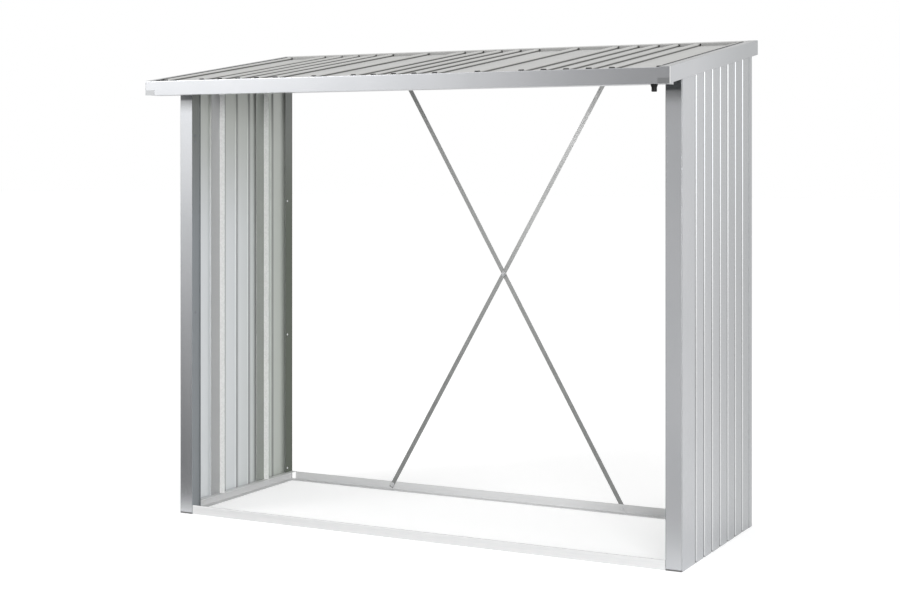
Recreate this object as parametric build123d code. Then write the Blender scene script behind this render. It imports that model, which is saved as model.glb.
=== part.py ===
from build123d import *
import os
from math import floor, hypot

# Log store of folded steel sheet: two grooved side walls, an open front and back,
# and a ribbed roof that falls forward to a gutter. Millimetres, +X to the right,
# +Y to the back, +Z up, origin on the ground under the middle of the roof.

# Overall form
WALL_WIDTH = 2240.0
WALL_DEPTH = 860.0
VERGE_HANG = 25.0
FRONT_HANG = 205.0
EAVES_HEIGHT = 1828.0
REAR_HEIGHT = 1990.0

# Sheet gauges
WALL_GAUGE = 0.8
ROOF_GAUGE = 0.8
TRIM_GAUGE = 1.0
POST_GAUGE = 1.5
RAIL_GAUGE = 2.0
EDGE_GAUGE = 1.0

# Inside radius of the folds, and the softer one of the extruded sill
BEND_RADIUS = 1.2
SILL_BEND_RADIUS = 2.2
SHARP = 0.0

# Pressed grooves of the wall sheets
GROOVE_PITCH = 96.0
GROOVE_WIDTH = 22.0
GROOVE_FLOOR = 4.0
GROOVE_DEPTH = 8.0
GROOVE_FIRST = 155.0
GROOVE_LAST_MIN = 120.0
SEAM_GAP = 0.4

# Uprights behind the seams of the wall sheets
UPRIGHT_FIRST = 277.0
UPRIGHT_PITCH = 348.0
UPRIGHT_WEB = 64.0
UPRIGHT_FIN = 27.0

# Front posts and the channels that close the rear edges of the walls
POST_FACE = 64.5
POST_SIDE = 60.0
POST_RETURN = 50.0
POST_LIP = 5.0
REAR_OUTER_LEG = 40.0
REAR_INNER_LEG = 60.0
REAR_INSET = 14.0

# Base frame
BASE_HEIGHT = 37.0
BASE_FLANGE = 30.0
SILL_DEPTH = 36.0
SILL_CROWN = 10.0
SILL_LEDGE = 30.0
SILL_SETBACK = 1.0
REAR_RAIL_FLANGE = 35.0

# Roof frame
TOP_RAIL_HEIGHT = 48.0
TOP_RAIL_FLANGE = 45.0
BEAM_FLANGE = 35.0
FRONT_BEAM_HEIGHT = 45.0
REAR_BEAM_HEIGHT = 75.0
PURLIN_HEIGHT = 40.0
PURLIN_FOOT = 20.0
FRONT_BEAM_SETBACK = 2.0

# Roof sheets
ROOF_SHEETS = 3
RIBS_PER_SHEET = 5
RIB_SPACING = 90.0
RIB_HEIGHT = 10.0
RIB_BASE = 32.0
RIB_TOP = 20.0
EDGE_FOOT = 9.0
UPSTAND_OFFSET = 4.0
UPSTAND_CLEARANCE = 1.5
ROOF_START = 60.0
ROOF_END_CLEARANCE = 2.0

# Trims
VERGE_DEPTH = 60.0
VERGE_SEAM = 59.0
VERGE_LIP = 15.0
REAR_TRIM_FLANGE = 60.0
REAR_TRIM_DEPTH = 60.0
REAR_TAB_CLEARANCE = 3.0
RIB_CLEARANCE = 3.0
SEAT_CLEARANCE = 0.3

# Fascia, whose ends sit behind corner tabs of the verge trims
FASCIA_HEIGHT = 59.0
FASCIA_HEM = 5.0
TAB_WIDTH = 45.0
TAB_HEIGHT = 21.0

# Gutter behind the fascia
GUTTER_DEPTH = 85.0
GUTTER_FRONT_HEIGHT = 50.0
GUTTER_SIDE_GAP = 0.3
OUTLET_INSET = 73.0
OUTLET_FLANGE_RADIUS = 13.0
OUTLET_FLANGE = 3.0
OUTLET_RADIUS = 10.0
OUTLET_BORE_RADIUS = 7.5
OUTLET_LENGTH = 26.0

# Crossed braces in the open back
BRACE_WIDTH = 19.0
BRACE_GAUGE = 2.0
BRACE_END = 14.0
BRACE_FOOT_REACH = 560.0
BRACE_HEAD_REACH = 528.0
BRACE_FOOT_HEIGHT = 22.0
BRACE_HEAD_MARGIN = 20.0
BRACE_SETBACK = 8.0
BOLT_RADIUS = 4.0
BOLT_HEAD_RADIUS = 6.5
BOLT_HEAD = 4.0
BOLT_CLEARANCE = 0.2

# Places that follow from the sizes above
ROOF_DEPTH = FRONT_HANG + WALL_DEPTH + TRIM_GAUGE
ROOF_FRONT = -ROOF_DEPTH / 2
ROOF_REAR = ROOF_DEPTH / 2
WALL_FRONT = ROOF_FRONT + FRONT_HANG
WALL_REAR = WALL_FRONT + WALL_DEPTH
WALL_FACE = WALL_WIDTH / 2
VERGE_FACE = WALL_FACE + VERGE_HANG
SLOPE = (REAR_HEIGHT - EAVES_HEIGHT) / ROOF_DEPTH
ROOF_BUILD_UP = TRIM_GAUGE * hypot(1, SLOPE) + ROOF_GAUGE + RIB_HEIGHT
GROOVE_BACK = WALL_FACE - WALL_GAUGE - GROOVE_DEPTH
BASE_INNER = GROOVE_BACK - BASE_FLANGE
TOP_RAIL_INNER = GROOVE_BACK - TOP_RAIL_FLANGE
RAIL_FOOT_DROP = ROOF_BUILD_UP + TOP_RAIL_HEIGHT
LEG_REAR = WALL_REAR - BRACE_SETBACK
LEG_FRONT = LEG_REAR - RAIL_GAUGE
PAN_SEAT = ROOF_GAUGE + SEAT_CLEARANCE
VERGE_INSIDE = VERGE_FACE - TRIM_GAUGE
FASCIA_FRONT = ROOF_FRONT + TRIM_GAUGE
FASCIA_REAR = FASCIA_FRONT + FASCIA_HEM
FASCIA_TOP = EAVES_HEIGHT - TRIM_GAUGE
FASCIA_BOTTOM = FASCIA_TOP - FASCIA_HEIGHT
GUTTER_FRONT = FASCIA_FRONT + TRIM_GAUGE
GUTTER_REAR = ROOF_FRONT + GUTTER_DEPTH
GUTTER_END = VERGE_FACE - VERGE_LIP - GUTTER_SIDE_GAP
OUTLET_X = VERGE_FACE - OUTLET_INSET
OUTLET_Y = (GUTTER_FRONT + GUTTER_REAR) / 2
EDGE_SEAM = VERGE_FACE - VERGE_SEAM
SHEET_COVER = 2 * EDGE_SEAM / ROOF_SHEETS
VERGE_INNER = EDGE_SEAM + RIB_BASE / 2 + RIB_CLEARANCE


def roof_z(y, drop=0.0):
    """Height of the roof's top plane at a depth y, less a drop."""
    return EAVES_HEIGHT + SLOPE * (y - ROOF_FRONT) - drop


def folded(points, gauge, bend=BEND_RADIUS):
    """Section of a folded sheet: the points are one face, the sheet lies on its left."""
    normals = []
    for (u0, v0), (u1, v1) in zip(points, points[1:]):
        length = hypot(u1 - u0, v1 - v0)
        normals.append(((v0 - v1) / length, (u1 - u0) / length))
    back = []
    for place, (u, v) in enumerate(points):
        before = normals[max(place - 1, 0)]
        after = normals[min(place, len(normals) - 1)]
        spread = gauge / (1 + before[0] * after[0] + before[1] * after[1])
        back.append((u + (before[0] + after[0]) * spread, v + (before[1] + after[1]) * spread))
    if bend == SHARP:
        return make_face(Polyline(*points, *reversed(back), close=True))
    face_radii = []
    back_radii = []
    for before, after in zip(normals, normals[1:]):
        turns_left = before[0] * after[1] > before[1] * after[0]
        face_radii.append(bend + gauge if turns_left else bend)
        back_radii.append(bend if turns_left else bend + gauge)
    edges = [
        FilletPolyline(*points, radius=face_radii),
        Line(points[-1], back[-1]),
        FilletPolyline(*back, radius=back_radii),
        Line(back[0], points[0]),
    ]
    return make_face(edges)


def standing(points, gauge, bottom, top):
    """A folded section in plan, standing from bottom to top."""
    face = (Pos(0, 0, bottom) * folded(points, gauge)).face()
    return Solid.extrude(face, (0, 0, top - bottom))


def lying(points, gauge, x_from, x_to, bend=BEND_RADIUS):
    """A folded section in the side view, running along X."""
    face = (Pos(x_from, 0, 0) * (Plane.YZ * folded(points, gauge, bend))).face()
    return Solid.extrude(face, (x_to - x_from, 0, 0))


def running_back(points, gauge, y_from, y_to, rise=0.0, bend=BEND_RADIUS):
    """A folded section in the front view, running back from y_from with the given rise."""
    face = (Pos(0, y_from, 0) * (Plane.XZ * folded(points, gauge, bend))).face()
    run = y_to - y_from
    return Solid.extrude(face, (0, run, run * rise))


def below_roof(part, drop):
    """The part, cut off along a plane that lies drop below the roof's top plane."""
    plane = Plane(origin=(0, ROOF_FRONT, roof_z(ROOF_FRONT, drop)), x_dir=(1, 0, 0), z_dir=(0, -SLOPE, 1))
    return split(part, bisect_by=plane, keep=Keep.BOTTOM)


def to_left(part):
    """The mirrored piece of the left side."""
    return mirror(part, about=Plane.YZ)


def groove_places():
    """Depths of the grooves of the right wall, from the front."""
    count = floor((WALL_DEPTH - GROOVE_FIRST - GROOVE_LAST_MIN) / GROOVE_PITCH) + 1
    return [WALL_FRONT + GROOVE_FIRST + GROOVE_PITCH * place for place in range(count)]


def wall_sheet(y_from, y_to, grooves):
    """One pressed wall sheet, as the right wall has it, with its V grooves."""
    points = [(WALL_FACE, y_from)]
    floor_x = WALL_FACE - GROOVE_DEPTH
    for place in grooves:
        if place > y_from:
            points.append((WALL_FACE, place - GROOVE_WIDTH / 2))
            points.append((floor_x, place - GROOVE_FLOOR / 2))
        else:
            points = [(floor_x, y_from)]
        if place < y_to:
            points.append((floor_x, place + GROOVE_FLOOR / 2))
            points.append((WALL_FACE, place + GROOVE_WIDTH / 2))
        else:
            points.append((floor_x, y_to))
    if points[-1][1] < y_to:
        points.append((WALL_FACE, y_to))
    sheet = standing(points, WALL_GAUGE, 0, REAR_HEIGHT)
    return below_roof(sheet, ROOF_BUILD_UP)


def wall_sheets(grooves):
    """The three sheets of a wall, which meet in the second and the last but one groove."""
    seams = [grooves[1], grooves[-2]]
    fronts = [WALL_FRONT + POST_GAUGE + BEND_RADIUS] + [seam + SEAM_GAP / 2 for seam in seams]
    rears = [seam - SEAM_GAP / 2 for seam in seams] + [WALL_REAR - EDGE_GAUGE - BEND_RADIUS]
    sheets = []
    for y_from, y_to in zip(fronts, rears):
        own = [place for place in grooves if y_from - SEAM_GAP < place < y_to + SEAM_GAP]
        sheets.append(wall_sheet(y_from, y_to, own))
    return sheets


def upright(fin, faces_back):
    """An angle upright of the right wall with its fin at the given depth."""
    tip = GROOVE_BACK - UPRIGHT_FIN
    if faces_back:
        points = [(tip, fin), (GROOVE_BACK, fin), (GROOVE_BACK, fin + UPRIGHT_WEB)]
    else:
        corner = fin + EDGE_GAUGE
        points = [(GROOVE_BACK, corner - UPRIGHT_WEB), (GROOVE_BACK, corner), (tip, corner)]
    return below_roof(standing(points, EDGE_GAUGE, BASE_HEIGHT, REAR_HEIGHT), RAIL_FOOT_DROP)


def front_post():
    """The folded front post on the right: side leg, face, return and lip."""
    inner = WALL_FACE - POST_FACE
    points = [
        (inner - POST_LIP, WALL_FRONT + POST_RETURN),
        (inner, WALL_FRONT + POST_RETURN),
        (inner, WALL_FRONT),
        (WALL_FACE - WALL_GAUGE, WALL_FRONT),
        (WALL_FACE - WALL_GAUGE, WALL_FRONT + POST_SIDE),
    ]
    return below_roof(standing(points, POST_GAUGE, 0, REAR_HEIGHT), RAIL_FOOT_DROP)


def rear_post():
    """The channel that clasps the rear edge of the right wall."""
    inner = WALL_FACE - REAR_INSET
    points = [
        (WALL_FACE + EDGE_GAUGE, WALL_REAR - REAR_OUTER_LEG),
        (WALL_FACE + EDGE_GAUGE, WALL_REAR),
        (inner, WALL_REAR),
        (inner, WALL_REAR - REAR_INNER_LEG),
    ]
    post = standing(points, EDGE_GAUGE, 0, REAR_HEIGHT)
    notch = Pos((inner + GROOVE_BACK) / 2, WALL_REAR - EDGE_GAUGE - REAR_INNER_LEG / 2, BASE_HEIGHT / 2)
    passage = notch * Box(GROOVE_BACK - inner, REAR_INNER_LEG, BASE_HEIGHT)
    return below_roof(post - passage, RAIL_FOOT_DROP)


def side_base_rail():
    """The channel inside the foot of the right wall, open to the bay."""
    points = [(BASE_INNER, 0), (GROOVE_BACK, 0), (GROOVE_BACK, BASE_HEIGHT), (BASE_INNER, BASE_HEIGHT)]
    return running_back(points, RAIL_GAUGE, WALL_FRONT + POST_GAUGE, WALL_REAR - EDGE_GAUGE)


def front_base_rail():
    """The stepped sill between the front posts."""
    face = WALL_FRONT + SILL_SETBACK
    points = [
        (face + SILL_DEPTH, 0),
        (face + SILL_DEPTH, SILL_LEDGE),
        (face + SILL_CROWN, SILL_LEDGE),
        (face + SILL_CROWN, BASE_HEIGHT),
        (face, BASE_HEIGHT),
        (face, 0),
    ]
    half = WALL_FACE - POST_FACE
    return lying(points, RAIL_GAUGE, -half, half, SILL_BEND_RADIUS)


def rear_base_rail():
    """The angle on the ground at the back that the braces stand on."""
    points = [(LEG_REAR - REAR_RAIL_FLANGE, 0), (LEG_REAR, 0), (LEG_REAR, BASE_HEIGHT)]
    return lying(points, RAIL_GAUGE, -BASE_INNER, BASE_INNER)


def top_rail():
    """The sloping channel at the head of the right wall, which also carries the gutter."""
    top = roof_z(GUTTER_REAR, ROOF_BUILD_UP)
    foot = top - TOP_RAIL_HEIGHT
    points = [(TOP_RAIL_INNER, foot), (GROOVE_BACK, foot), (GROOVE_BACK, top), (TOP_RAIL_INNER, top)]
    return running_back(points, RAIL_GAUGE, GUTTER_REAR, WALL_REAR, SLOPE)


def front_beam():
    """The angle across the front, its flange under the roof sheets."""
    face = WALL_FRONT + FRONT_BEAM_SETBACK
    points = [
        (face + BEAM_FLANGE, roof_z(face + BEAM_FLANGE, ROOF_BUILD_UP)),
        (face, roof_z(face, ROOF_BUILD_UP)),
        (face, roof_z(face, ROOF_BUILD_UP) - FRONT_BEAM_HEIGHT),
    ]
    return lying(points, RAIL_GAUGE, -TOP_RAIL_INNER, TOP_RAIL_INNER)


def rear_beam():
    """The deeper angle across the back that holds the heads of the braces."""
    points = [
        (LEG_REAR, rear_beam_foot()),
        (LEG_REAR, roof_z(LEG_REAR, ROOF_BUILD_UP)),
        (LEG_REAR - BEAM_FLANGE, roof_z(LEG_REAR - BEAM_FLANGE, ROOF_BUILD_UP)),
    ]
    return lying(points, RAIL_GAUGE, -TOP_RAIL_INNER, TOP_RAIL_INNER)


def rear_beam_foot():
    """Height of the lower edge of the rear beam."""
    return roof_z(LEG_REAR, ROOF_BUILD_UP) - REAR_BEAM_HEIGHT


def purlin():
    """The channel under the middle of the roof sheets."""
    face = (WALL_FRONT + WALL_REAR) / 2
    foot = roof_z(face, ROOF_BUILD_UP) - PURLIN_HEIGHT
    points = [
        (face + BEAM_FLANGE, roof_z(face + BEAM_FLANGE, ROOF_BUILD_UP)),
        (face, roof_z(face, ROOF_BUILD_UP)),
        (face, foot),
        (face + PURLIN_FOOT, foot),
    ]
    return lying(points, RAIL_GAUGE, -TOP_RAIL_INNER, TOP_RAIL_INNER)


def rib(centre, pan, crown):
    """Points of one trapezoid rib, from the pan on its left to the pan on its right."""
    return [
        (centre - RIB_BASE / 2, pan),
        (centre - RIB_TOP / 2, crown),
        (centre + RIB_TOP / 2, crown),
        (centre + RIB_BASE / 2, pan),
    ]


def sheet_ribs(number):
    """Centres of a roof sheet's ribs between its two seams."""
    middle = -EDGE_SEAM + (number + 0.5) * SHEET_COVER
    first = middle - (RIBS_PER_SHEET - 1) * RIB_SPACING / 2
    return [first + place * RIB_SPACING for place in range(RIBS_PER_SHEET)]


def roof_sheet(number):
    """One ribbed roof sheet; its right seam rib laps the upturned edge of the next one."""
    left = -EDGE_SEAM + number * SHEET_COVER
    right = left + SHEET_COVER
    pan = roof_z(ROOF_FRONT + ROOF_START, ROOF_BUILD_UP)
    crown = pan + RIB_HEIGHT
    if number == 0:
        points = [(left - RIB_BASE / 2 - EDGE_FOOT, pan)] + rib(left, pan, crown)
    else:
        points = [(left + UPSTAND_OFFSET, crown - UPSTAND_CLEARANCE), (left + UPSTAND_OFFSET, pan)]
    for centre in sheet_ribs(number):
        points += rib(centre, pan, crown)
    if number == ROOF_SHEETS - 1:
        points += rib(right, pan, crown)
        points.append((right + RIB_BASE / 2 + EDGE_FOOT, pan))
    else:
        flank = (RIB_BASE - RIB_TOP) / 2
        points += rib(right, pan, crown)[:3]
        points.append((right + RIB_BASE / 2 - flank * ROOF_GAUGE / RIB_HEIGHT, pan + ROOF_GAUGE))
    front = ROOF_FRONT + ROOF_START
    return running_back(points, ROOF_GAUGE, front, WALL_REAR - ROOF_END_CLEARANCE, SLOPE, SHARP)


def verge_trim():
    """The folded trim along the right edge of the roof, with a tab round the fascia's lower corner.

    Its flange ends beside the last rib, in an edge that is turned down onto the roof sheet.
    """
    foot = EAVES_HEIGHT - VERGE_DEPTH
    points = [
        (VERGE_FACE - VERGE_LIP, foot),
        (VERGE_FACE, foot),
        (VERGE_FACE, EAVES_HEIGHT),
        (VERGE_INNER, EAVES_HEIGHT),
    ]
    trim = running_back(points, TRIM_GAUGE, ROOF_FRONT, ROOF_REAR, SLOPE)
    room = Pos(VERGE_INSIDE - VERGE_LIP / 2, (ROOF_FRONT + FASCIA_REAR) / 2, (foot + FASCIA_TOP) / 2)
    trim -= room * Box(VERGE_LIP, FASCIA_REAR - ROOF_FRONT, FASCIA_TOP - foot)
    corner = Pos(VERGE_FACE - TAB_WIDTH / 2, ROOF_FRONT + TRIM_GAUGE / 2, foot + TAB_HEIGHT / 2)
    front = ROOF_FRONT + ROOF_START
    turned = [(VERGE_INNER, roof_z(front)), (VERGE_INNER, roof_z(front, ROOF_BUILD_UP) + PAN_SEAT)]
    edge = running_back(turned, TRIM_GAUGE, front, WALL_REAR - ROOF_END_CLEARANCE, SLOPE, SHARP)
    return trim + corner * Box(TAB_WIDTH, TRIM_GAUGE, TAB_HEIGHT) + edge


def rear_trim():
    """The angle over the rear ends of the ribs; its leg runs on inside the verge trims.

    The front edge of its flange is turned down into a comb that closes the pans between the ribs.
    """
    points = [
        (ROOF_REAR, REAR_HEIGHT - REAR_TRIM_DEPTH),
        (ROOF_REAR, REAR_HEIGHT),
        (ROOF_REAR - REAR_TRIM_FLANGE, roof_z(ROOF_REAR - REAR_TRIM_FLANGE)),
    ]
    trim = lying(points, TRIM_GAUGE, -VERGE_INNER, VERGE_INNER)
    tab_height = REAR_TRIM_DEPTH - 2 * REAR_TAB_CLEARANCE
    middle = Pos(0, ROOF_REAR - TRIM_GAUGE / 2, REAR_HEIGHT - REAR_TRIM_DEPTH / 2)
    trim += middle * Box(2 * VERGE_INSIDE, TRIM_GAUGE, tab_height)
    edge = ROOF_REAR - REAR_TRIM_FLANGE
    tooth = [(edge, roof_z(edge)), (edge, roof_z(edge + TRIM_GAUGE, ROOF_BUILD_UP) + PAN_SEAT)]
    ribs = [-EDGE_SEAM]
    for number in range(ROOF_SHEETS):
        ribs += sheet_ribs(number) + [-EDGE_SEAM + (number + 1) * SHEET_COVER]
    aside = RIB_BASE / 2 + RIB_CLEARANCE
    for left, right in zip(ribs, ribs[1:]):
        trim += lying(tooth, TRIM_GAUGE, left + aside, right - aside, SHARP)
    return trim


def fascia():
    """The flat trim across the front, hemmed along its top edge."""
    points = [
        (FASCIA_REAR, FASCIA_TOP),
        (FASCIA_FRONT, FASCIA_TOP),
        (FASCIA_FRONT, FASCIA_BOTTOM),
    ]
    return lying(points, TRIM_GAUGE, -VERGE_INSIDE, VERGE_INSIDE)


def gutter():
    """The box gutter behind the fascia, with the hole over its outlet."""
    points = [
        (GUTTER_FRONT, FASCIA_BOTTOM + GUTTER_FRONT_HEIGHT),
        (GUTTER_FRONT, FASCIA_BOTTOM),
        (GUTTER_REAR, FASCIA_BOTTOM),
        (GUTTER_REAR, FASCIA_TOP),
    ]
    half = GUTTER_END - TRIM_GAUGE
    hole = Pos(OUTLET_X, OUTLET_Y, FASCIA_BOTTOM) * Cylinder(OUTLET_BORE_RADIUS, 4 * TRIM_GAUGE)
    return lying(points, TRIM_GAUGE, -half, half) - hole


def gutter_end():
    """The right stop end of the gutter, beside the lip of the verge trim."""
    depth = GUTTER_REAR - GUTTER_FRONT
    middle = Pos(GUTTER_END - TRIM_GAUGE / 2, GUTTER_FRONT + depth / 2, FASCIA_BOTTOM + GUTTER_FRONT_HEIGHT / 2)
    return middle * Box(TRIM_GAUGE, depth, GUTTER_FRONT_HEIGHT)


def gutter_outlet():
    """The short plastic hose spigot under the gutter."""
    half = [
        (OUTLET_BORE_RADIUS, FASCIA_BOTTOM),
        (OUTLET_FLANGE_RADIUS, FASCIA_BOTTOM),
        (OUTLET_FLANGE_RADIUS, FASCIA_BOTTOM - OUTLET_FLANGE),
        (OUTLET_RADIUS, FASCIA_BOTTOM - OUTLET_FLANGE),
        (OUTLET_RADIUS, FASCIA_BOTTOM - OUTLET_LENGTH),
        (OUTLET_BORE_RADIUS, FASCIA_BOTTOM - OUTLET_LENGTH),
    ]
    section = Plane.XZ * make_face(Polyline(*half, close=True))
    return Pos(OUTLET_X, OUTLET_Y, 0) * revolve(section, Axis.Z)


def brace_points():
    """Foot, crossing and head of the brace that rises to the right."""
    head_height = rear_beam_foot() + BRACE_HEAD_MARGIN
    rise = (head_height - BRACE_FOOT_HEIGHT) / (BRACE_FOOT_REACH + BRACE_HEAD_REACH)
    crossing = BRACE_FOOT_HEIGHT + rise * BRACE_FOOT_REACH
    return (-BRACE_FOOT_REACH, BRACE_FOOT_HEIGHT), (0, crossing), (BRACE_HEAD_REACH, head_height)


def bolt_hole(x, z):
    """A clearance hole through whatever stands in the brace plane at x, z."""
    rod = Rot(X=90) * Cylinder(BOLT_RADIUS + BOLT_CLEARANCE, 4 * BRACE_SETBACK)
    return Pos(x, LEG_REAR, z) * rod


def brace_bar(front_face):
    """The flat bar that rises to the right, with its front on the given depth."""
    foot, crossing, head = brace_points()
    length = hypot(head[0] - foot[0], head[1] - foot[1])
    direction = ((head[0] - foot[0]) / length, 0, (head[1] - foot[1]) / length)
    middle = ((foot[0] + head[0]) / 2, front_face, (foot[1] + head[1]) / 2)
    blank = Plane(origin=middle, x_dir=direction, z_dir=(0, -1, 0)) * Rectangle(length + 2 * BRACE_END, BRACE_WIDTH)
    bar = Solid.extrude(blank.face(), (0, BRACE_GAUGE, 0))
    for x, z in (foot, crossing, head):
        bar -= bolt_hole(x, z)
    return bar


def bolt(x, z, front_face, rear_face, spacer=False):
    """A hexagon bolt and nut along Y with its faces on what it clamps."""
    head = Pos(x, front_face - BOLT_HEAD, z) * (Plane.XZ * RegularPolygon(BOLT_HEAD_RADIUS, 6))
    nut = Pos(x, rear_face, z) * (Plane.XZ * RegularPolygon(BOLT_HEAD_RADIUS, 6))
    grip = rear_face - front_face
    shank = Pos(x, (front_face + rear_face) / 2, z) * (Rot(X=90) * Cylinder(BOLT_RADIUS, grip))
    whole = shank + Solid.extrude(head.face(), (0, BOLT_HEAD, 0)) + Solid.extrude(nut.face(), (0, BOLT_HEAD, 0))
    if spacer:
        whole += Pos(x, (LEG_FRONT + LEG_REAR) / 2, z) * (Rot(X=90) * Cylinder(BOLT_HEAD_RADIUS, RAIL_GAUGE))
    return whole


def brace_bolts():
    """The bolts of the braces: one at the crossing and one at each end."""
    foot, crossing, head = brace_points()
    front = LEG_FRONT - BRACE_GAUGE
    rear = LEG_REAR + BRACE_GAUGE
    return Compound(
        [
            bolt(crossing[0], crossing[1], front, rear, spacer=True).solid(),
            bolt(foot[0], foot[1], front, LEG_REAR).solid(),
            bolt(head[0], head[1], front, LEG_REAR).solid(),
            bolt(-foot[0], foot[1], LEG_FRONT, rear).solid(),
            bolt(-head[0], head[1], LEG_FRONT, rear).solid(),
        ]
    )


def drilled(part, points):
    """The part with a clearance hole at each brace end, left and right."""
    x, z = points
    return part - bolt_hole(x, z) - bolt_hole(-x, z)


nodes = {}

nodes["base_rail_front"] = front_base_rail()
nodes["base_rail_rear"] = drilled(rear_base_rail(), brace_points()[0])
nodes["base_rail_right"] = side_base_rail()
nodes["front_post_right"] = front_post()
nodes["rear_post_right"] = rear_post()
nodes["top_rail_right"] = top_rail()
nodes["verge_trim_right"] = verge_trim()
nodes["gutter_end_right"] = gutter_end()
for name in ("base_rail", "front_post", "rear_post", "top_rail", "verge_trim", "gutter_end"):
    nodes[name + "_left"] = to_left(nodes[name + "_right"])

right_grooves = groove_places()
left_grooves = [WALL_FRONT + WALL_REAR - place for place in reversed(right_grooves)]
for place, sheet in zip(("front", "middle", "rear"), wall_sheets(right_grooves)):
    nodes[f"right_wall_sheet_{place}"] = sheet
for place, sheet in zip(("front", "middle", "rear"), wall_sheets(left_grooves)):
    nodes[f"left_wall_sheet_{place}"] = to_left(sheet)

for number, place in enumerate(("front", "rear")):
    fin = WALL_FRONT + UPRIGHT_FIRST + number * UPRIGHT_PITCH
    nodes[f"left_wall_upright_{place}"] = to_left(upright(fin, False))
for number, place in enumerate(("rear", "front")):
    fin = WALL_REAR - UPRIGHT_FIRST - number * UPRIGHT_PITCH
    nodes[f"right_wall_upright_{place}"] = upright(fin, True)

nodes["front_beam"] = front_beam()
nodes["rear_beam"] = drilled(rear_beam(), brace_points()[2])
nodes["roof_purlin"] = purlin()
for number, place in enumerate(("left", "middle", "right")):
    nodes[f"roof_sheet_{place}"] = roof_sheet(number)
nodes["rear_trim"] = rear_trim()

nodes["fascia"] = fascia()
nodes["gutter"] = gutter()
nodes["gutter_outlet"] = gutter_outlet()

nodes["brace_bar_front"] = brace_bar(LEG_FRONT - BRACE_GAUGE)
nodes["brace_bar_rear"] = to_left(brace_bar(LEG_REAR))
nodes["brace_bolts"] = brace_bolts()

os.makedirs("parts", exist_ok=True)
for name, shape in nodes.items():
    export_step(shape, f"parts/{name}.step")
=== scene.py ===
import bmesh
import bpy
from math import pi, radians
from mathutils import Matrix, Vector


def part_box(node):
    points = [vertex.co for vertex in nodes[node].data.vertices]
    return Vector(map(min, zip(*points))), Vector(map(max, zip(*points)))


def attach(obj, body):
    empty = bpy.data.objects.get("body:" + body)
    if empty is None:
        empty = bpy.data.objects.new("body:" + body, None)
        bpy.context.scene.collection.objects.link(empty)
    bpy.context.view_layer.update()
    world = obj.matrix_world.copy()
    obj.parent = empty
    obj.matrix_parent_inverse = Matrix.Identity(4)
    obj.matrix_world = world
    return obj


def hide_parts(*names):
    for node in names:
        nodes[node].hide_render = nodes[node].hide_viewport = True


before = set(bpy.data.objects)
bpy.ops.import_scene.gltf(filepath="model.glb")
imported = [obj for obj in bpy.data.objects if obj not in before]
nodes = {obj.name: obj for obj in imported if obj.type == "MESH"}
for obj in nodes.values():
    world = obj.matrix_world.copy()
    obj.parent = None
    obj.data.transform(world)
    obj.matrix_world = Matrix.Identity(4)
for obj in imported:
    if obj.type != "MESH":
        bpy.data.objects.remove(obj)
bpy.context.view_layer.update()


# Camera at a standing person's eye level, level and turned to the left. The long lens is
# shifted down, so that the uprights stay upright in the picture.
PICTURE_WIDTH_PX = 900
FOCAL_PX = 1648.58
HORIZON_ROW_PX = 162.2
MIDDLE_ROW_PX = 300
SENSOR = 36.0
CAMERA_PLACE = (3.1093, -6.0420, 1.4909)
CAMERA_TURN = 27.21

lens = bpy.data.cameras.new("camera")
lens.sensor_width = SENSOR
lens.lens = FOCAL_PX / PICTURE_WIDTH_PX * SENSOR
lens.shift_y = (HORIZON_ROW_PX - MIDDLE_ROW_PX) / PICTURE_WIDTH_PX
camera = bpy.data.objects.new("camera", lens)
camera.location = CAMERA_PLACE
camera.rotation_euler = (radians(90), 0, radians(CAMERA_TURN))
bpy.context.collection.objects.link(camera)
bpy.context.scene.camera = camera


# Helpers for node materials: Reading wraps a socket so that plain sums build Math nodes,
# and Shading adds any other node from its type, settings and socket values. The two pairs are
# parts of a noise's range that hold most of its values.
NOISE_MIDDLE = (0.3, 0.7)
NOISE_RANGE = (0.2, 0.8)


class Reading:
    """The output of a shader node; sums and products of readings add Math nodes."""

    def __init__(self, shading, socket):
        self.shading = shading
        self.socket = socket

    def maths(self, operation, first, second=0.0):
        return self.shading.maths(operation, first, second)

    def __add__(self, other):
        return self.maths("ADD", self, other)

    def __sub__(self, other):
        return self.maths("SUBTRACT", self, other)

    def __mul__(self, other):
        return self.maths("MULTIPLY", self, other)

    def __truediv__(self, other):
        return self.maths("DIVIDE", self, other)

    def __rsub__(self, other):
        return self.maths("SUBTRACT", other, self)

    def __lt__(self, other):
        return self.maths("LESS_THAN", self, other)

    def __or__(self, other):
        """The larger of two readings, which joins two masks."""
        return self.maths("MAXIMUM", self, other)

    def __abs__(self):
        return self.maths("ABSOLUTE", self)

    __radd__ = __add__
    __rmul__ = __mul__

    def beside(self, name):
        """Another output of the same node."""
        return Reading(self.shading, self.socket.node.outputs[name])

    def between(self, low, high, to_low=0.0, to_high=1.0):
        """Runs smoothly from to_low to to_high as the reading goes from low to high."""
        settings = {"interpolation_type": "SMOOTHSTEP", "clamp": True}
        values = {0: self, 1: low, 2: high, 3: to_low, 4: to_high}
        return self.shading.node("ShaderNodeMapRange", settings, values)


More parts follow.
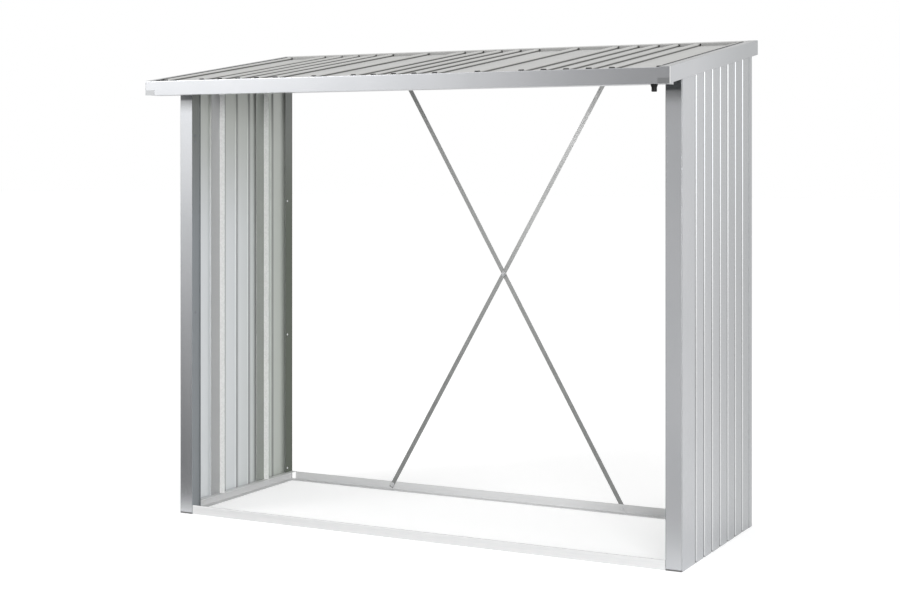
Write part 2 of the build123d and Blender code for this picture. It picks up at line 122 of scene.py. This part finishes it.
class Shading:
    """The node tree of a material or of the world."""

    def __init__(self, owner):
        owner.use_nodes = True
        self.owner = owner
        self.tree = owner.node_tree
        self.tree.nodes.clear()

    def node(self, kind, settings=None, values=None, output=0):
        """Adds a node and gives one of its outputs; a value is a number, a tuple or a reading."""
        made = self.tree.nodes.new(kind)
        for name, value in (settings or {}).items():
            if name == "stops":
                ramp = made.color_ramp
                while len(ramp.elements) < len(value):
                    ramp.elements.new(1.0)
                for element, (place, colour) in zip(ramp.elements, value):
                    element.position = place
                    element.color = (*colour, 1.0)
            else:
                setattr(made, name, value)
        for name, value in (values or {}).items():
            if isinstance(value, Reading):
                self.tree.links.new(value.socket, made.inputs[name])
            elif isinstance(value, tuple):
                size = len(made.inputs[name].default_value)
                made.inputs[name].default_value = (*value, 1.0)[:size]
            else:
                made.inputs[name].default_value = value
        return Reading(self, made.outputs[output] if made.outputs else None)

    def maths(self, operation, first, second=0.0):
        return self.node("ShaderNodeMath", {"operation": operation}, {0: first, 1: second})

    def coordinates(self, output="Object"):
        """A vector of the Texture Coordinate node; Object is the place in metres."""
        return self.node("ShaderNodeTexCoord", output=output)

    def split(self, vector):
        """The X, Y and Z of a vector, towards the right, the back and the top."""
        first = self.node("ShaderNodeSeparateXYZ", {}, {0: vector})
        return first, first.beside("Y"), first.beside("Z")

    def place(self):
        """Where a point of the piece lies."""
        return self.split(self.coordinates())

    def facing(self):
        """The direction that the surface faces."""
        return self.split(self.coordinates("Normal"))

    def noise(self, scale, detail=2.0, roughness=0.5, stretch=(1, 1, 1)):
        """Noise over the piece; it's drawn out along an axis whose stretch is small."""
        settings = {"vector_type": "POINT"}
        place = self.node("ShaderNodeMapping", settings, {"Vector": self.coordinates(), "Scale": stretch})
        values = {"Vector": place, "Scale": scale, "Detail": detail, "Roughness": roughness}
        return self.node("ShaderNodeTexNoise", {}, values)

    def blend(self, factor, first, second):
        """Colour mix: first where the factor is 0, second where it is 1."""
        values = {0: factor, 6: first, 7: second}
        return self.node("ShaderNodeMix", {"data_type": "RGBA"}, values, output=2)

    def bump(self, height, distance, strength):
        values = {"Height": height, "Distance": distance, "Strength": strength}
        return self.node("ShaderNodeBump", {}, values)

    def surface(self, **values):
        """The finished Principled surface; underscores in the names stand for spaces."""
        named = {name.replace("_", " "): value for name, value in values.items()}
        shader = self.node("ShaderNodeBsdfPrincipled", {}, named)
        self.node("ShaderNodeOutputMaterial", {}, {"Surface": shader})
        return self.owner


def new_finish(name):
    return Shading(bpy.data.materials.new(name))


# Studio walls: white to the camera, but the sheet metal reflects a ring of bright walls with
# a dim gap at the front, where its faces turn from white to grey. Each stop of the ring is a
# direction, in degrees to the right of the front, and a level.
RING = (
    (-180, 0.64), (-158, 0.72), (-126, 0.76), (-90, 1.0), (-54, 1.25), (-34, 1.25), (-28, 0.8),
    (-23, 0.29), (-15, 0.24), (14, 0.24), (26, 0.7), (34, 1.2), (60, 1.2), (86, 1.1),
    (112, 1.0), (142, 1.0), (151, 0.76), (168, 0.64), (180, 0.64),
)
RING_PEAK = 1.25
CEILING_LEVEL = 0.8
CEILING_HEIGHT = (0.1, 0.8)
WHITE = (1.0, 1.0, 1.0)

world = bpy.data.worlds.new("studio")
bpy.context.scene.world = world
bpy.context.scene.view_settings.view_transform = "Standard"
walls = Shading(world)
right, back, up = walls.split(walls.coordinates("Generated"))
turn = walls.maths("ARCTAN2", right, back * -1.0) / (2 * pi) + 0.5
stops = [(degrees / 360 + 0.5, (level / RING_PEAK,) * 3) for degrees, level in RING]
ring = walls.node("ShaderNodeValToRGB", {"stops": stops}, {"Fac": turn})
level = walls.node("ShaderNodeSeparateColor", {}, {0: ring}) * RING_PEAK
level = level + up.between(*CEILING_HEIGHT) * (CEILING_LEVEL - level)
level = level + walls.node("ShaderNodeLightPath", output="Is Camera Ray") * (1.0 - level)
glow = walls.node("ShaderNodeBackground", {}, {"Color": WHITE, "Strength": level})
walls.node("ShaderNodeOutputWorld", {}, {"Surface": glow})


# Studio floor: matt paper, pale under the store and greyer in front of it. A dark band runs
# from the left post to the front left, where that post's face mirrors it. To the camera the
# paper glows up to white and keeps its shadows.
FLOOR_HALF = 60.0
PAPER_TONE = 0.8
FRONT_TONE = 0.42
FRONT_START = -0.32
FRONT_FADE = 0.9
FAR_START = -4.0
FAR_FADE = 5.0
FAR_LIFT = 0.08
BAND_LEAN = 0.722
BAND_MIDDLE = -0.883
BAND_REACH = 0.6
BAND_FADE = 0.4
BAND_SHARE = 0.27
FLOOR_WHITE = 1.16

floor_shape = bmesh.new()
bmesh.ops.create_grid(floor_shape, x_segments=1, y_segments=1, size=FLOOR_HALF)
floor_mesh = bpy.data.meshes.new("floor")
floor_shape.to_mesh(floor_mesh)
floor_shape.free()
floor = bpy.data.objects.new("floor", floor_mesh)
bpy.context.collection.objects.link(floor)

paper = new_finish("white_floor")
x, y = paper.place()[:2]
tone = y.between(FRONT_START, FRONT_START - FRONT_FADE, PAPER_TONE, FRONT_TONE)
tone = tone + y.between(FAR_START, FAR_START - FAR_FADE, 0.0, FAR_LIFT)
band = abs(x - y * BAND_LEAN - BAND_MIDDLE).between(BAND_REACH + BAND_FADE, BAND_REACH)
band = band * y.between(FRONT_START, FRONT_START - BAND_FADE)
tone = tone * (1.0 - band * (1.0 - BAND_SHARE))
grey = paper.node("ShaderNodeCombineColor", {}, {0: tone, 1: tone, 2: tone})
diffuse = paper.node("ShaderNodeBsdfDiffuse", {}, {"Color": grey})
lift = paper.node("ShaderNodeLightPath", output="Is Camera Ray") * (FLOOR_WHITE - tone)
glow = paper.node("ShaderNodeEmission", {}, {"Color": WHITE, "Strength": lift})
lit_paper = paper.node("ShaderNodeAddShader", {}, {0: diffuse, 1: glow})
paper.node("ShaderNodeOutputMaterial", {}, {"Surface": lit_paper})
floor_mesh.materials.append(paper.owner)


# Lamps: three soft boxes, a key from the front left, a fill from the front right and a weak
# one at the right. Each row is a name, a place, the spot that the lamp points at, its width
# and height in metres, and its power in watts.
LAMPS = (
    ("key_light", (-5.0, -5.5, 4.5), (0.0, 0.0, 1.0), (3.0, 2.4), 120),
    ("fill_light", (5.5, -7.5, 2.1), (-0.6, 0.0, 1.0), (3.0, 2.0), 430),
    ("side_light", (7.1, -1.2, 1.5), (1.1, 0.0, 1.4), (2.4, 2.6), 7),
)

for name, place, aim, size, power in LAMPS:
    light = bpy.data.lights.new(name, "AREA")
    light.shape = "RECTANGLE"
    light.size, light.size_y = size
    light.energy = power
    lamp = bpy.data.objects.new(name, light)
    lamp.location = place
    lamp.rotation_euler = (Vector(aim) - Vector(place)).to_track_quat("-Z", "Y").to_euler()
    bpy.context.collection.objects.link(lamp)


def dress(names, finish):
    """Gives CAD pieces a finish."""
    for name in names:
        mesh = nodes[name].data
        mesh.materials.clear()
        mesh.materials.append(finish)


# Coated sheet steel of walls, posts and trims: a pale silver lacquer with fine metal flakes
# over rolled, very slightly wavy sheet, folded and pressed to shape. The sides that face the
# bay have a matt backing coat. It is light on the wall sheets; on posts and trims it is painted
# dark, as painted shade.
WALL_FACE = 1.120
WALL_MIDDLE = 0.1

# Each pair is where a mark on the steel starts and where it is full: a place or a depth in
# metres, or a part of the direction that the surface faces.
LOOKS_FRONT = (-0.5, -0.8)
REARWARD = (-0.35, 0.45)
LOOKS_UP = (0.6, 0.95)
BEHIND_POSTS = (-0.30, -0.29)
LIP_DEPTH = (0.0002, 0.0012)
GROOVE_SIDE = (0.0025, 0.0045)
GROOVE_FLOOR = (0.0125, 0.0115)
TAB_FRONT = (-0.5322, -0.5328)
TAB_TOP = (1.7896, 1.7888)
FASCIA_FRONT = (-0.50, -0.51)
FASCIA_SHADE_SPAN = (0.0, 1.5)
CORNER_FRONT = (-0.520, -0.523)
CORNER_SIDE = (0.5, 0.8)
BEHIND_FASCIA = (-0.5, -0.4)
POST_FACE = (-0.31, -0.32)
POST_HEAD = (1.69, 1.765)
POST_TOP = (1.748, 1.760)
POST_FOOT = (0.008, 0.004)
HEM_SIDE = (1.060, 1.057)
HEM_BACK = (-0.30, -0.285)
HEM_FRONT = (-0.3, -0.6)
BEHIND_GUTTER = (-0.45, -0.44)
POST_REACH = (0.362, 0.368)
BEND_TURN = (0.03, 0.15)
REAR_EDGE = (0.44, 0.45)
REAR_EDGE_FRONT = (-0.1, -0.3)
BACKING_REARWARD = (0.0, 0.5)
BACKING_UPWARD = (1.1, 1.8)
GROOVE_FLANK = (-0.3, -0.5)

# Colours of the lacquer and of its marks, and how strongly they show. The marks are mostly
# painted light and shade. There are painted highlights on the lips of the grooves and on the
# front corners of the verges. There is painted shade in the grooves, towards the rear, along the
# fascia to the right and on the heads of the posts under the fascia, and a painted shadow runs
# along the feet of the posts. Bends and hems are painted dark, and bends are rougher, so that
# they don't mirror a lamp as a white line. Faces that look up and the tabs at the front are darker.
LACQUER = ((0.75, 0.765, 0.79), (0.78, 0.79, 0.815))
LACQUER_REAR_SHADE = (0.60, 0.615, 0.63)
LACQUER_ABOVE = (0.56, 0.57, 0.575)
LIP_HIGHLIGHT_TONE = (0.96, 0.97, 0.98)
GROOVE_SHADE_TONE = (0.25, 0.26, 0.27)
TAB_TONE = (0.58, 0.59, 0.60)
CORNER_HIGHLIGHT_TONE = (0.97, 0.97, 0.98)
POST_HEAD_SHADE_TONE = (0.34, 0.345, 0.35)
POST_TOP_SHADE_TONE = (0.12, 0.125, 0.13)
HEM_TONE = (0.20, 0.21, 0.22)
BEND_TONE = (0.46, 0.47, 0.48)
POST_FOOT_SHADOW_TONE = (0.20, 0.20, 0.20)
BACKING_GROOVE_TONE = (0.12, 0.12, 0.12)
BLACK = (0.0, 0.0, 0.0)
FASCIA_SHADE_SHARE = 0.7
FLOOR_SHADE = 0.5
FLANK_SHADE = 0.2
LACQUER_METAL = 0.93
BACKING_METAL = 0.25
BACKING_ROUGHER = 0.15
BEND_ROUGHER = 0.5
INWARD_LIMIT = -0.1

# The backing coat's colours at the front, at the back and near the roof. The ones of walls and
# posts are painted darker further in and near the roof, as painted shade; on trims the backing
# is dark throughout, as painted shade too.
WALL_BACKING = ((0.72, 0.745, 0.76), (0.49, 0.52, 0.48), (0.50, 0.52, 0.49))
POST_BACKING = ((0.25, 0.27, 0.285), (0.10, 0.115, 0.09), (0.18, 0.19, 0.18))
TRIM_BACKING = ((0.14, 0.14, 0.145), (0.14, 0.14, 0.145), (0.14, 0.14, 0.145))


def silver_finish(name, backing):
    """Silver lacquer outside, and a backing coat where the steel faces the middle."""
    silver = new_finish(name)
    blend = silver.blend
    x, y, z = silver.place()
    right, back, up = silver.facing()
    looks_front = back.between(*LOOKS_FRONT)

    haze = silver.noise(scale=3.0, detail=3.0, roughness=0.55)
    tone = blend(haze.between(*NOISE_MIDDLE), *LACQUER)
    # Painted shade: the lacquer darkens towards the rear. Faces that look up are darker.
    tone = blend(y.between(*REARWARD), tone, LACQUER_REAR_SHADE)
    tone = blend(up.between(*LOOKS_UP), tone, LACQUER_ABOVE)

    depth = WALL_FACE - abs(x)
    sheet = y.between(*BEHIND_POSTS)
    groove = depth.between(*GROOVE_SIDE) * depth.between(*GROOVE_FLOOR) * sheet
    # Painted highlight on the lips of the grooves, and painted shade in the grooves.
    tone = blend(depth.between(*LIP_DEPTH) * sheet, tone, LIP_HIGHLIGHT_TONE)
    tone = blend(groove, tone, GROOVE_SHADE_TONE)

    tone = blend(y.between(*TAB_FRONT) * z.between(*TAB_TOP), tone, TAB_TONE)
    # Painted shade along the fascia, deeper to the right.
    dull = x.between(*FASCIA_SHADE_SPAN) * looks_front * y.between(*FASCIA_FRONT)
    tone = blend(dull, tone, blend(FASCIA_SHADE_SHARE, BLACK, tone))
    # Painted highlight on the front corners of the verges.
    tone = blend(y.between(*CORNER_FRONT) * abs(right).between(*CORNER_SIDE), tone, CORNER_HIGHLIGHT_TONE)

    face = looks_front * y.between(*BEHIND_FASCIA) * y.between(*POST_FACE)
    hem = abs(x).between(*HEM_SIDE) * y.between(*HEM_BACK) * back.between(*HEM_FRONT)
    posts = abs(y - WALL_MIDDLE).between(*POST_REACH) * y.between(*BEHIND_GUTTER)
    bend = abs(right * back).between(*BEND_TURN) * posts
    bend = bend | back.between(*REAR_EDGE_FRONT) * y.between(*REAR_EDGE)
    # Painted shade on the heads of the posts under the fascia.
    tone = blend(z.between(*POST_HEAD) * face, tone, POST_HEAD_SHADE_TONE)
    tone = blend(z.between(*POST_TOP) * face, tone, POST_TOP_SHADE_TONE)
    # Hems and bends are painted dark, so that they don't mirror a lamp as a white line.
    tone = blend(hem, tone, HEM_TONE)
    tone = blend(bend, tone, BEND_TONE)
    # Painted shadow along the feet of the posts, where they meet the ground.
    tone = blend(z.between(*POST_FOOT) * looks_front, tone, POST_FOOT_SHADOW_TONE)

    front_backing, rear_backing, high_backing = backing
    # Painted shade: the backing darkens further in, near the roof and in its grooves.
    inside = blend(y.between(*BACKING_REARWARD), front_backing, rear_backing)
    inside = blend(z.between(*BACKING_UPWARD), inside, high_backing)
    shade = back.between(*GROOVE_FLANK) * FLANK_SHADE + FLOOR_SHADE
    inside = blend(groove * shade, inside, BACKING_GROOVE_TONE)
    inward = right * x < INWARD_LIMIT

    flakes = silver.noise(scale=900.0, detail=1.0).between(*NOISE_MIDDLE, -0.01, 0.01)
    streaks = silver.noise(scale=60.0, detail=3.0, roughness=0.6, stretch=(1, 1, 0.02))
    roughness = streaks.between(*NOISE_RANGE, 0.24, 0.255) + flakes
    waves = silver.noise(scale=4.0, detail=1.0, stretch=(1, 1, 0.35))
    return silver.surface(
        Base_Color=blend(inward, tone, inside),
        Metallic=LACQUER_METAL - inward * (LACQUER_METAL - BACKING_METAL),
        Roughness=roughness + (inward * BACKING_ROUGHER | bend * BEND_ROUGHER),
        Normal=silver.bump(waves, distance=0.0015, strength=0.4),
    )


wall_coat = silver_finish("silver_coated_walls", WALL_BACKING)
post_coat = silver_finish("silver_coated_posts", POST_BACKING)
trim_coat = silver_finish("silver_coated_trims", TRIM_BACKING)
dress([name for name in nodes if "wall_sheet" in name], wall_coat)
dress([name for name in nodes if "post" in name], post_coat)
trims = [name for name in nodes if "verge" in name or name.startswith("gutter")]
dress(trims + ["fascia"], trim_coat)


# Roof sheets and rear trim: the same steel under a duller, slightly warmer coat, pressed with
# its ribs. Painted shade darkens the feet of the ribs and the strips beside the last ribs, and
# the front edges are grey.
ROOF_SLOPE = 0.15197
PAN_LEVEL = 1.898
ROOF_COAT = ((0.60, 0.60, 0.585), (0.64, 0.64, 0.63))
ROOF_EDGE = (-0.5, -0.9)
ROOF_EDGE_TONE = (0.32, 0.32, 0.315)
RIB_FLANK = (0.3, 0.6)
RIB_FOOT = (0.007, 0.003)
LAST_RIB = (1.085, 1.087)
CREASE_SHADE_TONE = (0.10, 0.10, 0.095)

roof = new_finish("roof_coated_steel")
x, y, z = roof.place()
right, back = roof.facing()[:2]
haze = roof.noise(scale=4.0, detail=3.0)
height = z - y * ROOF_SLOPE - PAN_LEVEL
# Painted shade along the feet of the ribs and beside the last ribs.
rib_shade = abs(right).between(*RIB_FLANK) * (height.between(*RIB_FOOT) | abs(x).between(*LAST_RIB))
pan = roof.blend(haze.between(*NOISE_MIDDLE), *ROOF_COAT)
pan = roof.blend(back.between(*ROOF_EDGE), pan, ROOF_EDGE_TONE)
roof_coat = roof.surface(
    Base_Color=roof.blend(rib_shade, pan, CREASE_SHADE_TONE),
    Metallic=0.5,
    Roughness=haze.between(*NOISE_RANGE, 0.42, 0.5),
)
dress([name for name in nodes if "roof_sheet" in name] + ["rear_trim"], roof_coat)


# Inner frame: folded galvanised steel with fine zinc crystals, darker towards the back, to
# stand for the shade there. The faces that look forwards or backwards, such as the fins that
# stand out into the bay, are written paler, because little light reaches them.
ZINC_FRONT = (0.44, 0.445, 0.45)
ZINC_REAR = (0.29, 0.31, 0.285)
ZINC_REARWARD = (-0.1, 0.3)
CRYSTAL_TONE = (0.40, 0.41, 0.40)
CRYSTAL_SHARE = 0.16
FIN_FACING = (0.4, 0.8)
FIN_TONE = (0.95, 0.955, 0.945)
ZINC_METAL = 0.5
FIN_METAL = 0.05

zinc = new_finish("galvanised_steel")
y = zinc.place()[1]
back = zinc.facing()[1]
voronoi = {"Vector": zinc.coordinates(), "Scale": 160.0}
crystals = zinc.node("ShaderNodeTexVoronoi", {}, voronoi, output="Color")
grain = zinc.node("ShaderNodeSeparateColor", {}, {0: crystals})
fins = abs(back).between(*FIN_FACING)
sheet = zinc.blend(y.between(*ZINC_REARWARD), ZINC_FRONT, ZINC_REAR)
sheet = zinc.blend(fins, sheet, FIN_TONE)
zinc_coat = zinc.surface(
    Base_Color=zinc.blend(grain.between(0.0, 1.0, 0.0, CRYSTAL_SHARE), sheet, CRYSTAL_TONE),
    Metallic=ZINC_METAL - fins * (ZINC_METAL - FIN_METAL),
    Roughness=grain.between(0.0, 1.0, 0.34, 0.4),
)
frame_names = [name for name in nodes if "upright" in name or "top_rail" in name]
dress(frame_names + ["front_beam", "rear_beam", "roof_purlin"], zinc_coat)


# Braces: two crossed flat bars of dull galvanised steel, bolted to the frame across the open
# back. Their tone stands for the light on them too: paler upwards, and palest at the head of
# the bar that rises to the right.
BRACE_LOW = (0.26, 0.265, 0.26)
BRACE_HIGH = (0.46, 0.465, 0.46)
BRACE_UPWARD = (0.3, 1.5)
ARM_SIDE = (-0.05, 0.2)
ARM_UPWARD = (0.85, 1.2)
ARM_TONE = (0.62, 0.625, 0.62)
HEAD_UPWARD = (1.4, 1.7)
HEAD_TONE = (0.97, 0.97, 0.97)
MOTTLE_TONE = (0.42, 0.43, 0.42)
MOTTLE_SHARE = 0.2
BRACE_METAL = 0.3
ARM_METAL = 0.05

flat = new_finish("galvanised_braces")
x, y, z = flat.place()
mottle = flat.noise(scale=45.0, detail=3.0, roughness=0.6)
arm = x.between(*ARM_SIDE) * z.between(*ARM_UPWARD)
bar = flat.blend(z.between(*BRACE_UPWARD), BRACE_LOW, BRACE_HIGH)
bar = flat.blend(arm, bar, ARM_TONE)
bar = flat.blend(arm * z.between(*HEAD_UPWARD), bar, HEAD_TONE)
brace_coat = flat.surface(
    Base_Color=flat.blend(mottle.between(*NOISE_MIDDLE, 0.0, MOTTLE_SHARE), bar, MOTTLE_TONE),
    Metallic=BRACE_METAL - arm * (BRACE_METAL - ARM_METAL),
    Roughness=mottle.between(*NOISE_MIDDLE, 0.4, 0.5),
)
dress(["brace_bar_front", "brace_bar_rear"], brace_coat)


# Base frame: extruded aluminium bars on the ground, with a stepped sill at the front. Fine
# die lines run along the front and rear bars.
SILL_TONES = ((0.68, 0.685, 0.69), (0.72, 0.72, 0.72))

bright = new_finish("aluminium")
lines = bright.noise(scale=400.0, detail=2.0, roughness=0.6, stretch=(0.02, 1, 1))
aluminium = bright.surface(
    Base_Color=bright.blend(lines.between(*NOISE_MIDDLE), *SILL_TONES),
    Metallic=0.15,
    Roughness=lines.between(*NOISE_RANGE, 0.36, 0.42),
)
dress([name for name in nodes if "base_rail" in name], aluminium)


# Hose spigot: black moulded plastic with a flared collar under the gutter and two low barbs,
# pushed into the hole in the gutter's floor and held by its collar. Each corner of its
# outline is a radius and a depth under the gutter.
SPIGOT_PROFILE = (
    (0.0075, 0.0), (0.013, 0.0), (0.0128, 0.003), (0.0102, 0.010), (0.0095, 0.014), (0.0102, 0.0145),
    (0.0095, 0.0195), (0.0102, 0.020), (0.0093, 0.0255), (0.0089, 0.026), (0.0075, 0.026),
)
SPIGOT_SIDES = 40
PLASTIC_TONES = ((0.008, 0.008, 0.008), (0.014, 0.014, 0.014))

black = new_finish("black_plastic")
moulded = black.noise(scale=300.0, detail=2.0)
black_coat = black.surface(
    Base_Color=black.blend(moulded.between(*NOISE_MIDDLE), *PLASTIC_TONES),
    Roughness=moulded.between(*NOISE_MIDDLE, 0.45, 0.55),
    Specular_IOR_Level=0.2,
)


def new_piece(name, shape, finish):
    """Makes a bmesh a piece that stands with the store."""
    bmesh.ops.recalc_face_normals(shape, faces=shape.faces)
    mesh = bpy.data.meshes.new(name)
    shape.to_mesh(mesh)
    shape.free()
    mesh.materials.append(finish)
    piece = bpy.data.objects.new(name, mesh)
    bpy.context.collection.objects.link(piece)
    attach(piece, "root")
    return piece


def add_ring(shape, profile, place, axis, sides):
    """Turns a closed outline of radius and height about an axis through a place."""
    turn = Vector((0, 0, 1)).rotation_difference(Vector(axis)).to_matrix().to_4x4()
    seat = Matrix.Translation(place) @ turn
    earlier = set(shape.verts)
    corners = [shape.verts.new((radius, 0, height)) for radius, height in profile]
    edges = [shape.edges.new((corners[i - 1], corners[i])) for i in range(len(corners))]
    bmesh.ops.spin(
        shape, geom=corners + edges, cent=(0, 0, 0), axis=(0, 0, 1), angle=2 * pi, steps=sides,
        use_merge=True,
    )
    ring_verts = [vert for vert in shape.verts if vert not in earlier]
    bmesh.ops.transform(shape, matrix=seat, verts=ring_verts)


low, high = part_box("gutter_outlet")
spigot_place = ((low[0] + high[0]) / 2, (low[1] + high[1]) / 2, high[2])
spigot_shape = bmesh.new()
add_ring(spigot_shape, SPIGOT_PROFILE, spigot_place, (0, 0, -1), SPIGOT_SIDES)
spigot = new_piece("hose_spigot", spigot_shape, black_coat)
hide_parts("gutter_outlet")


# Verge seals: black rubber strips, rounded along the top and pressed into the joint between
# the last rib of the roof and the verge trim on each side.
SEAL_X = 1.1005
SEAL_WIDTH = 0.0075
SEAL_FOOT = 0.001
SEAL_TOP = 0.0125
SEAL_ROUND = 0.002
ROOF_LEAN = Matrix(((1, 0, 0, 0), (0, 1, 0, 0), (0, ROOF_SLOPE, 1, 0), (0, 0, 0, 1)))
RUBBER_TONES = ((0.05, 0.05, 0.05), (0.09, 0.09, 0.09))

rubber = new_finish("black_rubber")
chalk = rubber.noise(scale=120.0, detail=3.0)
rubber_coat = rubber.surface(
    Base_Color=rubber.blend(chalk.between(*NOISE_MIDDLE), *RUBBER_TONES),
    Roughness=chalk.between(*NOISE_MIDDLE, 0.7, 0.85),
    Specular_IOR_Level=0.2,
)
seal_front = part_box("roof_sheet_right")[0][1]
seal_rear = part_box("rear_trim")[0][1]
seal_size = (SEAL_WIDTH, seal_rear - seal_front, SEAL_TOP - SEAL_FOOT)
seal_shape = bmesh.new()
for side in (-1, 1):
    made = bmesh.ops.create_cube(seal_shape, size=1.0)["verts"]
    upper = [vert for vert in made if vert.co.z > 0]
    middle = (side * SEAL_X, (seal_front + seal_rear) / 2, PAN_LEVEL + (SEAL_FOOT + SEAL_TOP) / 2)
    bmesh.ops.scale(seal_shape, vec=seal_size, verts=made)
    bmesh.ops.translate(seal_shape, vec=middle, verts=made)
    bmesh.ops.transform(seal_shape, matrix=ROOF_LEAN, verts=made)
    top_edges = [edge for edge in seal_shape.edges if all(vert in upper for vert in edge.verts)]
    crown = [edge for edge in top_edges if edge.calc_length() > SEAL_TOP]
    bmesh.ops.bevel(
        seal_shape, geom=crown, offset=SEAL_ROUND, segments=3, profile=0.5, affect="EDGES", material=-1
    )
new_piece("verge_seals", seal_shape, rubber_coat)


# Rib closers: plugs of black foam rubber, pressed into the front ends of the roof's ribs to
# keep wind out. The two at the laps end at the upturned edge of the next sheet.
CLOSER_FOOT = 0.0316
CLOSER_TOP = 0.0196
CLOSER_HEIGHT = 0.0099
CLOSER_DEPTH = 0.020
CLOSER_SETBACK = 0.001
LAP_ROOM = 0.0038
SHEETS = 3
SHEET_COVER = 0.724
SHEET_RIBS = 5
RIB_SPACING = 0.090

low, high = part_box("roof_sheet_right")
seams = [(number - SHEETS / 2) * SHEET_COVER for number in range(SHEETS + 1)]
laps = seams[1:-1]
sheets = [(number - (SHEETS - 1) / 2) * SHEET_COVER for number in range(SHEETS)]
ribs = [(number - (SHEET_RIBS - 1) / 2) * RIB_SPACING for number in range(SHEET_RIBS)]
closer_shape = bmesh.new()
for centre in seams + [sheet + rib for sheet in sheets for rib in ribs]:
    made = bmesh.ops.create_cube(closer_shape, size=1.0)["verts"]
    upper = [vert for vert in made if vert.co.z > 0]
    bmesh.ops.scale(closer_shape, vec=(CLOSER_FOOT, CLOSER_DEPTH, CLOSER_HEIGHT), verts=made)
    bmesh.ops.scale(closer_shape, vec=(CLOSER_TOP / CLOSER_FOOT, 1, 1), verts=upper)
    bmesh.ops.translate(closer_shape, vec=(0, CLOSER_DEPTH / 2, CLOSER_HEIGHT / 2), verts=made)
    if centre in laps:
        beyond = [vert for vert in made if vert.co.x > 0]
        bmesh.ops.scale(closer_shape, vec=(0, 1, 1), verts=beyond)
        bmesh.ops.translate(closer_shape, vec=(LAP_ROOM, 0, 0), verts=beyond)
    place = (centre, low[1] + CLOSER_SETBACK, low[2] + CLOSER_SETBACK * ROOF_SLOPE)
    bmesh.ops.transform(closer_shape, matrix=Matrix.Translation(place) @ ROOF_LEAN, verts=made)
new_piece("rib_closers", closer_shape, rubber_coat)


# Bolts of the braces: zinc-plated hexagon bolts, one at the crossing and one at each end of a
# bar, with a flat washer round each head. The plate is darker at the front of the store.
WASHER_INNER = 0.0067
WASHER_OUTER = 0.0105
WASHER_THICKNESS = 0.001
WASHER_SIDES = 32
FRONT_BAR_FACE = 0.520
REAR_BAR_FACE = 0.522
CROSSING_HEIGHT = 0.99985
BRACE_FOOT_X = 0.560
BRACE_FOOT_HEIGHT = 0.022
BRACE_HEAD_X = 0.528
BRACE_HEAD_HEIGHT = 1.9218
PLATE_TONES = ((0.70, 0.71, 0.73), (0.80, 0.80, 0.80))
PLATE_FRONT = (-0.2, -0.28)
PLATE_FRONT_TONE = (0.22, 0.23, 0.25)

plate = new_finish("zinc_bolts")
y = plate.place()[1]
dull = plate.noise(scale=250.0, detail=2.0)
plated = plate.blend(dull.between(*NOISE_MIDDLE), *PLATE_TONES)
plate_coat = plate.surface(
    Base_Color=plate.blend(y.between(*PLATE_FRONT), plated, PLATE_FRONT_TONE),
    Metallic=0.7,
    Roughness=dull.between(*NOISE_MIDDLE, 0.28, 0.36),
)
dress(["brace_bolts"], plate_coat)

washer_profile = (
    (WASHER_INNER, 0), (WASHER_OUTER, 0), (WASHER_OUTER, WASHER_THICKNESS), (WASHER_INNER, WASHER_THICKNESS),
)
bolt_places = [(0, FRONT_BAR_FACE, CROSSING_HEIGHT)]
for side, face in ((1, FRONT_BAR_FACE), (-1, REAR_BAR_FACE)):
    bolt_places.append((-side * BRACE_FOOT_X, face, BRACE_FOOT_HEIGHT))
    bolt_places.append((side * BRACE_HEAD_X, face, BRACE_HEAD_HEIGHT))
washer_shape = bmesh.new()
for place in bolt_places:
    add_ring(washer_shape, washer_profile, place, (0, -1, 0), WASHER_SIDES)
new_piece("brace_washers", washer_shape, plate_coat)


# Screws: zinc-plated, self-drilling, with domed heads and a round socket. They are driven from
# inside the bay, through the rear posts, the returns of the front posts and the sill's ledge.
SCREW_RADIUS = 0.005
SCREW_TAPER = 0.85
SCREW_HEAD = 0.0026
SCREW_SIDES = 20
SCREW_SOCKET = 0.0024
SCREW_SOCKET_DEPTH = 0.0012
SCREW_ROUND = 0.0009
REAR_LEG_X = 1.106
REAR_SCREW_Y = 0.487
REAR_SCREW_HEIGHTS = (0.057, 0.683, 1.309)
RETURN_X = 1.0555
FRONT_SCREW_Y = -0.308
FRONT_SCREW_HEIGHTS = (0.853, 1.577, 1.603)
SILL_SCREWS = (0.815, 0.908, 0.993)
SILL_SCREW_Y = -0.304
SILL_LEDGE = 0.030


def add_screw(shape, place, facing):
    """A domed head with a round socket, standing on a face."""
    facing = Vector(facing)
    turn = Vector((0, 0, 1)).rotation_difference(facing).to_matrix().to_4x4()
    middle = Vector(place) + facing * SCREW_HEAD / 2
    made = bmesh.ops.create_cone(
        shape, cap_ends=True, segments=SCREW_SIDES, radius1=SCREW_RADIUS,
        radius2=SCREW_RADIUS * SCREW_TAPER, depth=SCREW_HEAD, matrix=Matrix.Translation(middle) @ turn,
    )["verts"]
    faces = {face for vert in made for face in vert.link_faces}
    crown = max(faces, key=lambda face: face.calc_center_median().dot(facing))
    rim = list(crown.edges)
    bmesh.ops.inset_individual(shape, faces=[crown], thickness=SCREW_SOCKET, depth=-SCREW_SOCKET_DEPTH)
    bmesh.ops.bevel(shape, geom=rim, offset=SCREW_ROUND, segments=2, profile=0.5, affect="EDGES", material=-1)


screw_shape = bmesh.new()
for side in (-1, 1):
    for height in REAR_SCREW_HEIGHTS:
        add_screw(screw_shape, (side * REAR_LEG_X, REAR_SCREW_Y, height), (-side, 0, 0))
    for height in FRONT_SCREW_HEIGHTS:
        add_screw(screw_shape, (side * RETURN_X, FRONT_SCREW_Y, height), (-side, 0, 0))
    for reach in SILL_SCREWS:
        add_screw(screw_shape, (side * reach, SILL_SCREW_Y, SILL_LEDGE), (0, 0, 1))
new_piece("screws", screw_shape, plate_coat)
